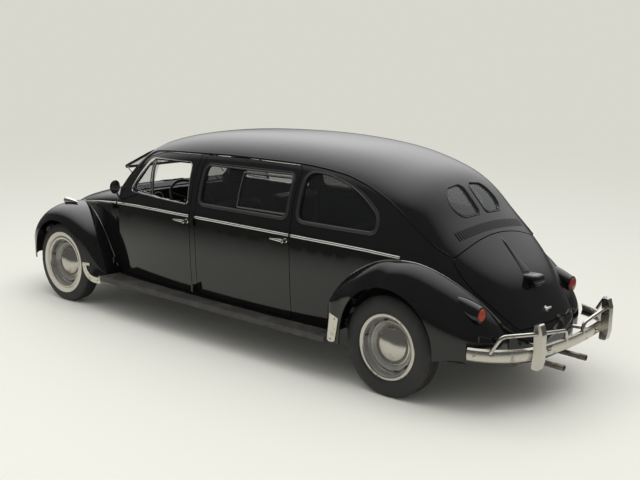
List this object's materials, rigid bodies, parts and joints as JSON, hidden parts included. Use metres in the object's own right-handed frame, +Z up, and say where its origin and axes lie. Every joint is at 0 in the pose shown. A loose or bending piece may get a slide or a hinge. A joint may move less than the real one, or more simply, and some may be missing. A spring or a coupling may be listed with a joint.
{
  "type": "stretched four-door compact saloon",
  "caption": "Black stretched four-door compact saloon with separate wings, rear engine, opening doors, bonnet and engine lid, steering and rolling wheels.",
  "frame": {"origin": "centre of the bounding box's length and width, on the ground under the tyres", "axes": "+X forward, +Y to the car's left, +Z up"},
  "size_m": [4.93, 1.5779, 1.5005],
  "materials": {
    "body_paint": "gloss",
    "dark_metal": "satin",
    "dash_paint": "satin",
    "glass": "clear",
    "bright_metal": "polished",
    "screen_metal": "satin",
    "lamp_red": "gloss",
    "board_rubber": "matt",
    "upholstery": "matt",
    "wheel_plastic": "gloss",
    "tyre_rubber": "matt",
    "wheel_paint": "gloss"
  },
  "bodies": {
    "body": {"body_shell": "body_paint", "front_wings": "body_paint", "rear_wings": "body_paint", "floor_pan": "dark_metal", "rear_bulkhead": "dark_metal", "engine_block": "dark_metal", "gearbox": "dark_metal", "front_axle": "dark_metal", "rear_axle": "dark_metal", "dashboard": "dash_paint", "fixed_glass": "glass", "front_bumper": "bright_metal", "rear_bumper": "bright_metal", "exhaust": "bright_metal", "turn_signals": "bright_metal", "headlamps": "bright_metal", "windscreen_frame": "screen_metal", "tail_lamps": "lamp_red", "running_boards": "board_rubber", "front_seats": "upholstery", "rear_seat": "upholstery"},
    "left_front_door": {"front_door_left": "body_paint", "front_door_glass_left": "glass", "front_door_handle_left": "bright_metal", "mirror": "bright_metal"},
    "right_front_door": {"front_door_right": "body_paint", "front_door_glass_right": "glass", "front_door_handle_right": "bright_metal"},
    "left_rear_door": {"rear_door_left": "body_paint", "rear_door_glass_left": "glass", "rear_door_handle_left": "bright_metal"},
    "right_rear_door": {"rear_door_right": "body_paint", "rear_door_glass_right": "glass", "rear_door_handle_right": "bright_metal"},
    "front_lid": {"bonnet": "body_paint"},
    "rear_lid": {"engine_lid": "body_paint", "plate_lamp": "body_paint"},
    "left_knuckle": {"front_knuckle_left": "dark_metal"},
    "right_knuckle": {"front_knuckle_right": "dark_metal"},
    "left_front_wheel": {"front_tyre_left": "tyre_rubber", "front_wheel_left": "wheel_paint"},
    "right_front_wheel": {"front_tyre_right": "tyre_rubber", "front_wheel_right": "wheel_paint"},
    "left_rear_wheel": {"rear_tyre_left": "tyre_rubber", "rear_wheel_left": "wheel_paint"},
    "right_rear_wheel": {"rear_tyre_right": "tyre_rubber", "rear_wheel_right": "wheel_paint"},
    "hand_wheel": {"steering_wheel": "wheel_plastic"}
  },
  "joints": [
    {"name": "left_front_door_hinge", "type": "hinge", "parent": "body", "child": "left_front_door", "pos_m": [1.202, 0.64, 0.7], "axis": [0, 0, -1], "range_deg": [0, 65]},
    {"name": "right_front_door_hinge", "type": "hinge", "parent": "body", "child": "right_front_door", "pos_m": [1.202, -0.64, 0.7], "axis": [0, 0, 1], "range_deg": [0, 65]},
    {"name": "left_rear_door_hinge", "type": "hinge", "parent": "body", "child": "left_rear_door", "pos_m": [0.214, 0.702, 0.7], "axis": [0, 0, -1], "range_deg": [0, 65]},
    {"name": "right_rear_door_hinge", "type": "hinge", "parent": "body", "child": "right_rear_door", "pos_m": [0.214, -0.702, 0.7], "axis": [0, 0, 1], "range_deg": [0, 65]},
    {"name": "bonnet_hinge", "type": "hinge", "parent": "body", "child": "front_lid", "pos_m": [1.256, 0, 1.008], "axis": [0, -1, 0], "range_deg": [0, 60]},
    {"name": "engine_lid_hinge", "type": "hinge", "parent": "body", "child": "rear_lid", "pos_m": [-1.868, 0, 1.006], "axis": [0, 1, 0], "range_deg": [0, 60]},
    {"name": "steer_left", "type": "hinge", "parent": "body", "child": "left_knuckle", "pos_m": [1.76, 0.56, 0.32], "axis": [0, 0, 1], "range_deg": [-30, 30]},
    {"name": "steer_right", "type": "hinge", "parent": "body", "child": "right_knuckle", "pos_m": [1.76, -0.56, 0.32], "axis": [0, 0, 1], "range_deg": [-30, 30]},
    {"name": "hand_wheel_turn", "type": "hinge", "parent": "body", "child": "hand_wheel", "pos_m": [0.64, 0.33, 0.905], "axis": [-0.7511, 0, 0.6601], "range_deg": [-420, 420]},
    {"name": "left_front_wheel_spin", "type": "hinge", "parent": "left_knuckle", "child": "left_front_wheel", "pos_m": [1.76, 0.652, 0.32], "axis": [0, 1, 0], "continuous": true},
    {"name": "left_rear_wheel_spin", "type": "hinge", "parent": "body", "child": "left_rear_wheel", "pos_m": [-1.55, 0.644, 0.32], "axis": [0, 1, 0], "continuous": true},
    {"name": "right_front_wheel_spin", "type": "hinge", "parent": "right_knuckle", "child": "right_front_wheel", "pos_m": [1.76, -0.652, 0.32], "axis": [0, 1, 0], "continuous": true},
    {"name": "right_rear_wheel_spin", "type": "hinge", "parent": "body", "child": "right_rear_wheel", "pos_m": [-1.55, -0.644, 0.32], "axis": [0, 1, 0], "continuous": true}
  ],
  "couplings": [
    {"joint": "steer_right", "follows": "steer_left", "ratio": 1},
    {"joint": "hand_wheel_turn", "follows": "steer_left", "ratio": 14}
  ]
}
